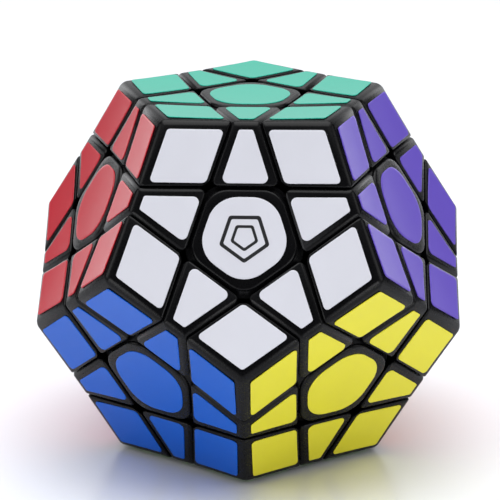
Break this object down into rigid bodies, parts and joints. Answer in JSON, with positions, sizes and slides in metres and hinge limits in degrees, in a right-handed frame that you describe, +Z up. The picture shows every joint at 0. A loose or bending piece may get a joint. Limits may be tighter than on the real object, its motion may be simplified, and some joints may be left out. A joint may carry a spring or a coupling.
{
  "type": "dodecahedron twisty puzzle",
  "caption": "Hand-held twisty puzzle shaped as a dodecahedron with dished faces; each face layer of a rounded centre, narrow edges and rhombic corners turns about its own axis on a sprung core.",
  "frame": {"origin": "centre of the core, which is also the centre of the bounding box", "axes": "+Z up, out of the middle of the top (green) face while the puzzle stands on the lime face; -Y towards the viewer, below the tilted white face"},
  "size_m": [0.0932, 0.0972, 0.08],
  "materials": {
    "black_plastic": "satin black moulded plastic with thin coloured face tiles",
    "core_plastic": "moulded",
    "screw_steel": "zinc plated",
    "spring_steel": "drawn wire",
    "washer_steel": "stamped"
  },
  "bodies": {
    "core": {"core": "core_plastic", "screws": "screw_steel", "springs": "spring_steel", "washers": "washer_steel", "centre_lime": "black_plastic"},
    "face_green": {"centre_green": "black_plastic"},
    "face_white": {"centre_white": "black_plastic"},
    "face_purple": {"centre_purple": "black_plastic"},
    "face_azure": {"centre_azure": "black_plastic"},
    "face_cream": {"centre_cream": "black_plastic"},
    "face_red": {"centre_red": "black_plastic"},
    "face_yellow": {"centre_yellow": "black_plastic"},
    "face_orange": {"centre_orange": "black_plastic"},
    "face_grey": {"centre_grey": "black_plastic"},
    "face_pink": {"centre_pink": "black_plastic"},
    "face_blue": {"centre_blue": "black_plastic"},
    "edge_green_white": {"edge_green_white": "black_plastic"},
    "edge_green_purple": {"edge_green_purple": "black_plastic"},
    "edge_green_azure": {"edge_green_azure": "black_plastic"},
    "edge_green_cream": {"edge_green_cream": "black_plastic"},
    "edge_green_red": {"edge_green_red": "black_plastic"},
    "edge_white_purple": {"edge_white_purple": "black_plastic"},
    "edge_white_red": {"edge_white_red": "black_plastic"},
    "edge_white_yellow": {"edge_white_yellow": "black_plastic"},
    "edge_white_blue": {"edge_white_blue": "black_plastic"},
    "edge_purple_azure": {"edge_purple_azure": "black_plastic"},
    "edge_purple_yellow": {"edge_purple_yellow": "black_plastic"},
    "edge_purple_orange": {"edge_purple_orange": "black_plastic"},
    "edge_azure_cream": {"edge_azure_cream": "black_plastic"},
    "edge_azure_orange": {"edge_azure_orange": "black_plastic"},
    "edge_azure_grey": {"edge_azure_grey": "black_plastic"},
    "edge_cream_red": {"edge_cream_red": "black_plastic"},
    "edge_cream_grey": {"edge_cream_grey": "black_plastic"},
    "edge_cream_pink": {"edge_cream_pink": "black_plastic"},
    "edge_red_pink": {"edge_red_pink": "black_plastic"},
    "edge_red_blue": {"edge_red_blue": "black_plastic"},
    "edge_yellow_orange": {"edge_yellow_orange": "black_plastic"},
    "edge_yellow_blue": {"edge_yellow_blue": "black_plastic"},
    "edge_orange_grey": {"edge_orange_grey": "black_plastic"},
    "edge_grey_pink": {"edge_grey_pink": "black_plastic"},
    "edge_pink_blue": {"edge_pink_blue": "black_plastic"},
    "corner_green_white_purple": {"corner_green_white_purple": "black_plastic"},
    "corner_green_white_red": {"corner_green_white_red": "black_plastic"},
    "corner_green_purple_azure": {"corner_green_purple_azure": "black_plastic"},
    "corner_green_azure_cream": {"corner_green_azure_cream": "black_plastic"},
    "corner_green_cream_red": {"corner_green_cream_red": "black_plastic"},
    "corner_white_purple_yellow": {"corner_white_purple_yellow": "black_plastic"},
    "corner_white_red_blue": {"corner_white_red_blue": "black_plastic"},
    "corner_white_yellow_blue": {"corner_white_yellow_blue": "black_plastic"},
    "corner_purple_azure_orange": {"corner_purple_azure_orange": "black_plastic"},
    "corner_purple_yellow_orange": {"corner_purple_yellow_orange": "black_plastic"},
    "corner_azure_cream_grey": {"corner_azure_cream_grey": "black_plastic"},
    "corner_azure_orange_grey": {"corner_azure_orange_grey": "black_plastic"},
    "corner_cream_red_pink": {"corner_cream_red_pink": "black_plastic"},
    "corner_cream_grey_pink": {"corner_cream_grey_pink": "black_plastic"},
    "corner_red_pink_blue": {"corner_red_pink_blue": "black_plastic"}
  },
  "joints": [
    {"name": "full_turn_green", "type": "hinge", "parent": "core", "child": "face_green", "pos_m": [0, 0, 0], "axis": [0, 0, 1], "continuous": true},
    {"name": "full_turn_yellow", "type": "hinge", "parent": "core", "child": "face_yellow", "pos_m": [0, 0, 0], "axis": [0.5257, -0.7236, -0.4472], "continuous": true},
    {"name": "full_turn_pink", "type": "hinge", "parent": "core", "child": "face_pink", "pos_m": [0, 0, 0], "axis": [-0.8507, 0.2764, -0.4472], "continuous": true},
    {"name": "turn_white", "type": "hinge", "parent": "core", "child": "face_white", "pos_m": [0, 0, 0], "axis": [0, -0.8944, 0.4472], "range_deg": [-360, 360]},
    {"name": "turn_purple", "type": "hinge", "parent": "core", "child": "face_purple", "pos_m": [0, 0, 0], "axis": [0.8507, -0.2764, 0.4472], "range_deg": [-360, 360]},
    {"name": "turn_azure", "type": "hinge", "parent": "core", "child": "face_azure", "pos_m": [0, 0, 0], "axis": [0.5257, 0.7236, 0.4472], "range_deg": [-360, 360]},
    {"name": "turn_cream", "type": "hinge", "parent": "core", "child": "face_cream", "pos_m": [0, 0, 0], "axis": [-0.5257, 0.7236, 0.4472], "range_deg": [-360, 360]},
    {"name": "turn_red", "type": "hinge", "parent": "core", "child": "face_red", "pos_m": [0, 0, 0], "axis": [-0.8507, -0.2764, 0.4472], "range_deg": [-360, 360]},
    {"name": "turn_orange", "type": "hinge", "parent": "core", "child": "face_orange", "pos_m": [0, 0, 0], "axis": [0.8507, 0.2764, -0.4472], "range_deg": [-360, 360]},
    {"name": "turn_grey", "type": "hinge", "parent": "core", "child": "face_grey", "pos_m": [0, 0, 0], "axis": [0, 0.8944, -0.4472], "range_deg": [-360, 360]},
    {"name": "turn_blue", "type": "hinge", "parent": "core", "child": "face_blue", "pos_m": [0, 0, 0], "axis": [-0.5257, -0.7236, -0.4472], "range_deg": [-360, 360]},
    {"name": "edge_green_white_about_white", "type": "hinge", "parent": "face_green", "child": "edge_green_white", "pos_m": [0, 0, 0], "axis": [0, -0.8944, 0.4472], "range_deg": [-360, 360]},
    {"name": "edge_green_purple_about_purple", "type": "hinge", "parent": "face_green", "child": "edge_green_purple", "pos_m": [0, 0, 0], "axis": [0.8507, -0.2764, 0.4472], "range_deg": [-360, 360]},
    {"name": "edge_green_azure_about_azure", "type": "hinge", "parent": "face_green", "child": "edge_green_azure", "pos_m": [0, 0, 0], "axis": [0.5257, 0.7236, 0.4472], "range_deg": [-360, 360]},
    {"name": "edge_green_cream_about_cream", "type": "hinge", "parent": "face_green", "child": "edge_green_cream", "pos_m": [0, 0, 0], "axis": [-0.5257, 0.7236, 0.4472], "range_deg": [-360, 360]},
    {"name": "edge_green_red_about_red", "type": "hinge", "parent": "face_green", "child": "edge_green_red", "pos_m": [0, 0, 0], "axis": [-0.8507, -0.2764, 0.4472], "range_deg": [-360, 360]},
    {"name": "edge_white_purple_about_purple", "type": "hinge", "parent": "face_white", "child": "edge_white_purple", "pos_m": [0, 0, 0], "axis": [0.8507, -0.2764, 0.4472], "range_deg": [-360, 360]},
    {"name": "edge_white_red_about_red", "type": "hinge", "parent": "face_white", "child": "edge_white_red", "pos_m": [0, 0, 0], "axis": [-0.8507, -0.2764, 0.4472], "range_deg": [-360, 360]},
    {"name": "edge_white_yellow_about_yellow", "type": "hinge", "parent": "face_white", "child": "edge_white_yellow", "pos_m": [0, 0, 0], "axis": [0.5257, -0.7236, -0.4472], "continuous": true},
    {"name": "edge_white_blue_about_blue", "type": "hinge", "parent": "face_white", "child": "edge_white_blue", "pos_m": [0, 0, 0], "axis": [-0.5257, -0.7236, -0.4472], "range_deg": [-360, 360]},
    {"name": "edge_purple_azure_about_azure", "type": "hinge", "parent": "face_purple", "child": "edge_purple_azure", "pos_m": [0, 0, 0], "axis": [0.5257, 0.7236, 0.4472], "range_deg": [-360, 360]},
    {"name": "edge_purple_yellow_about_yellow", "type": "hinge", "parent": "face_purple", "child": "edge_purple_yellow", "pos_m": [0, 0, 0], "axis": [0.5257, -0.7236, -0.4472], "continuous": true},
    {"name": "edge_purple_orange_about_orange", "type": "hinge", "parent": "face_purple", "child": "edge_purple_orange", "pos_m": [0, 0, 0], "axis": [0.8507, 0.2764, -0.4472], "range_deg": [-360, 360]},
    {"name": "edge_azure_cream_about_cream", "type": "hinge", "parent": "face_azure", "child": "edge_azure_cream", "pos_m": [0, 0, 0], "axis": [-0.5257, 0.7236, 0.4472], "range_deg": [-360, 360]},
    {"name": "edge_azure_orange_about_orange", "type": "hinge", "parent": "face_azure", "child": "edge_azure_orange", "pos_m": [0, 0, 0], "axis": [0.8507, 0.2764, -0.4472], "range_deg": [-360, 360]},
    {"name": "edge_azure_grey_about_grey", "type": "hinge", "parent": "face_azure", "child": "edge_azure_grey", "pos_m": [0, 0, 0], "axis": [0, 0.8944, -0.4472], "range_deg": [-360, 360]},
    {"name": "edge_cream_red_about_red", "type": "hinge", "parent": "face_cream", "child": "edge_cream_red", "pos_m": [0, 0, 0], "axis": [-0.8507, -0.2764, 0.4472], "range_deg": [-360, 360]},
    {"name": "edge_cream_grey_about_grey", "type": "hinge", "parent": "face_cream", "child": "edge_cream_grey", "pos_m": [0, 0, 0], "axis": [0, 0.8944, -0.4472], "range_deg": [-360, 360]},
    {"name": "edge_cream_pink_about_pink", "type": "hinge", "parent": "face_cream", "child": "edge_cream_pink", "pos_m": [0, 0, 0], "axis": [-0.8507, 0.2764, -0.4472], "continuous": true},
    {"name": "edge_red_pink_about_pink", "type": "hinge", "parent": "face_red", "child": "edge_red_pink", "pos_m": [0, 0, 0], "axis": [-0.8507, 0.2764, -0.4472], "continuous": true},
    {"name": "edge_red_blue_about_blue", "type": "hinge", "parent": "face_red", "child": "edge_red_blue", "pos_m": [0, 0, 0], "axis": [-0.5257, -0.7236, -0.4472], "range_deg": [-360, 360]},
    {"name": "edge_yellow_orange_about_orange", "type": "hinge", "parent": "face_yellow", "child": "edge_yellow_orange", "pos_m": [0, 0, 0], "axis": [0.8507, 0.2764, -0.4472], "range_deg": [-360, 360]},
    {"name": "edge_yellow_blue_about_blue", "type": "hinge", "parent": "face_yellow", "child": "edge_yellow_blue", "pos_m": [0, 0, 0], "axis": [-0.5257, -0.7236, -0.4472], "range_deg": [-360, 360]},
    {"name": "edge_orange_grey_about_grey", "type": "hinge", "parent": "face_orange", "child": "edge_orange_grey", "pos_m": [0, 0, 0], "axis": [0, 0.8944, -0.4472], "range_deg": [-360, 360]},
    {"name": "edge_grey_pink_about_pink", "type": "hinge", "parent": "face_grey", "child": "edge_grey_pink", "pos_m": [0, 0, 0], "axis": [-0.8507, 0.2764, -0.4472], "continuous": true},
    {"name": "edge_pink_blue_about_blue", "type": "hinge", "parent": "face_pink", "child": "edge_pink_blue", "pos_m": [0, 0, 0], "axis": [-0.5257, -0.7236, -0.4472], "range_deg": [-360, 360]},
    {"name": "corner_green_white_purple_about_purple", "type": "hinge", "parent": "edge_green_white", "child": "corner_green_white_purple", "pos_m": [0, 0, 0], "axis": [0.8507, -0.2764, 0.4472], "range_deg": [-360, 360]},
    {"name": "corner_green_white_red_about_red", "type": "hinge", "parent": "edge_green_white", "child": "corner_green_white_red", "pos_m": [0, 0, 0], "axis": [-0.8507, -0.2764, 0.4472], "range_deg": [-360, 360]},
    {"name": "corner_green_purple_azure_about_azure", "type": "hinge", "parent": "edge_green_purple", "child": "corner_green_purple_azure", "pos_m": [0, 0, 0], "axis": [0.5257, 0.7236, 0.4472], "range_deg": [-360, 360]},
    {"name": "corner_green_azure_cream_about_cream", "type": "hinge", "parent": "edge_green_azure", "child": "corner_green_azure_cream", "pos_m": [0, 0, 0], "axis": [-0.5257, 0.7236, 0.4472], "range_deg": [-360, 360]},
    {"name": "corner_green_cream_red_about_red", "type": "hinge", "parent": "edge_green_cream", "child": "corner_green_cream_red", "pos_m": [0, 0, 0], "axis": [-0.8507, -0.2764, 0.4472], "range_deg": [-360, 360]},
    {"name": "corner_white_purple_yellow_about_yellow", "type": "hinge", "parent": "edge_white_purple", "child": "corner_white_purple_yellow", "pos_m": [0, 0, 0], "axis": [0.5257, -0.7236, -0.4472], "continuous": true},
    {"name": "corner_white_red_blue_about_blue", "type": "hinge", "parent": "edge_white_red", "child": "corner_white_red_blue", "pos_m": [0, 0, 0], "axis": [-0.5257, -0.7236, -0.4472], "range_deg": [-360, 360]},
    {"name": "corner_white_yellow_blue_about_blue", "type": "hinge", "parent": "edge_white_yellow", "child": "corner_white_yellow_blue", "pos_m": [0, 0, 0], "axis": [-0.5257, -0.7236, -0.4472], "range_deg": [-360, 360]},
    {"name": "corner_purple_azure_orange_about_orange", "type": "hinge", "parent": "edge_purple_azure", "child": "corner_purple_azure_orange", "pos_m": [0, 0, 0], "axis": [0.8507, 0.2764, -0.4472], "range_deg": [-360, 360]},
    {"name": "corner_purple_yellow_orange_about_orange", "type": "hinge", "parent": "edge_purple_yellow", "child": "corner_purple_yellow_orange", "pos_m": [0, 0, 0], "axis": [0.8507, 0.2764, -0.4472], "range_deg": [-360, 360]},
    {"name": "corner_azure_cream_grey_about_grey", "type": "hinge", "parent": "edge_azure_cream", "child": "corner_azure_cream_grey", "pos_m": [0, 0, 0], "axis": [0, 0.8944, -0.4472], "range_deg": [-360, 360]},
    {"name": "corner_azure_orange_grey_about_grey", "type": "hinge", "parent": "edge_azure_orange", "child": "corner_azure_orange_grey", "pos_m": [0, 0, 0], "axis": [0, 0.8944, -0.4472], "range_deg": [-360, 360]},
    {"name": "corner_cream_red_pink_about_pink", "type": "hinge", "parent": "edge_cream_red", "child": "corner_cream_red_pink", "pos_m": [0, 0, 0], "axis": [-0.8507, 0.2764, -0.4472], "continuous": true},
    {"name": "corner_cream_grey_pink_about_pink", "type": "hinge", "parent": "edge_cream_grey", "child": "corner_cream_grey_pink", "pos_m": [0, 0, 0], "axis": [-0.8507, 0.2764, -0.4472], "continuous": true},
    {"name": "corner_red_pink_blue_about_blue", "type": "hinge", "parent": "edge_red_pink", "child": "corner_red_pink_blue", "pos_m": [0, 0, 0], "axis": [-0.5257, -0.7236, -0.4472], "range_deg": [-360, 360]}
  ],
  "couplings": [
    {"joint": "edge_green_white_about_white", "follows": "turn_white", "ratio": 1},
    {"joint": "edge_green_purple_about_purple", "follows": "turn_purple", "ratio": 1},
    {"joint": "edge_green_azure_about_azure", "follows": "turn_azure", "ratio": 1},
    {"joint": "edge_green_cream_about_cream", "follows": "turn_cream", "ratio": 1},
    {"joint": "edge_green_red_about_red", "follows": "turn_red", "ratio": 1},
    {"joint": "edge_white_purple_about_purple", "follows": "turn_purple", "ratio": 1},
    {"joint": "edge_white_red_about_red", "follows": "turn_red", "ratio": 1},
    {"joint": "edge_white_yellow_about_yellow", "follows": "full_turn_yellow", "ratio": 1},
    {"joint": "edge_white_blue_about_blue", "follows": "turn_blue", "ratio": 1},
    {"joint": "edge_purple_azure_about_azure", "follows": "turn_azure", "ratio": 1},
    {"joint": "edge_purple_yellow_about_yellow", "follows": "full_turn_yellow", "ratio": 1},
    {"joint": "edge_purple_orange_about_orange", "follows": "turn_orange", "ratio": 1},
    {"joint": "edge_azure_cream_about_cream", "follows": "turn_cream", "ratio": 1},
    {"joint": "edge_azure_orange_about_orange", "follows": "turn_orange", "ratio": 1},
    {"joint": "edge_azure_grey_about_grey", "follows": "turn_grey", "ratio": 1},
    {"joint": "edge_cream_red_about_red", "follows": "turn_red", "ratio": 1},
    {"joint": "edge_cream_grey_about_grey", "follows": "turn_grey", "ratio": 1},
    {"joint": "edge_cream_pink_about_pink", "follows": "full_turn_pink", "ratio": 1},
    {"joint": "edge_red_pink_about_pink", "follows": "full_turn_pink", "ratio": 1},
    {"joint": "edge_red_blue_about_blue", "follows": "turn_blue", "ratio": 1},
    {"joint": "edge_yellow_orange_about_orange", "follows": "turn_orange", "ratio": 1},
    {"joint": "edge_yellow_blue_about_blue", "follows": "turn_blue", "ratio": 1},
    {"joint": "edge_orange_grey_about_grey", "follows": "turn_grey", "ratio": 1},
    {"joint": "edge_grey_pink_about_pink", "follows": "full_turn_pink", "ratio": 1},
    {"joint": "edge_pink_blue_about_blue", "follows": "turn_blue", "ratio": 1},
    {"joint": "corner_green_white_purple_about_purple", "follows": "turn_purple", "ratio": 1},
    {"joint": "corner_green_white_red_about_red", "follows": "turn_red", "ratio": 1},
    {"joint": "corner_green_purple_azure_about_azure", "follows": "turn_azure", "ratio": 1},
    {"joint": "corner_green_azure_cream_about_cream", "follows": "turn_cream", "ratio": 1},
    {"joint": "corner_green_cream_red_about_red", "follows": "turn_red", "ratio": 1},
    {"joint": "corner_white_purple_yellow_about_yellow", "follows": "full_turn_yellow", "ratio": 1},
    {"joint": "corner_white_red_blue_about_blue", "follows": "turn_blue", "ratio": 1},
    {"joint": "corner_white_yellow_blue_about_blue", "follows": "turn_blue", "ratio": 1},
    {"joint": "corner_purple_azure_orange_about_orange", "follows": "turn_orange", "ratio": 1},
    {"joint": "corner_purple_yellow_orange_about_orange", "follows": "turn_orange", "ratio": 1},
    {"joint": "corner_azure_cream_grey_about_grey", "follows": "turn_grey", "ratio": 1},
    {"joint": "corner_azure_orange_grey_about_grey", "follows": "turn_grey", "ratio": 1},
    {"joint": "corner_cream_red_pink_about_pink", "follows": "full_turn_pink", "ratio": 1},
    {"joint": "corner_cream_grey_pink_about_pink", "follows": "full_turn_pink", "ratio": 1},
    {"joint": "corner_red_pink_blue_about_blue", "follows": "turn_blue", "ratio": 1}
  ]
}
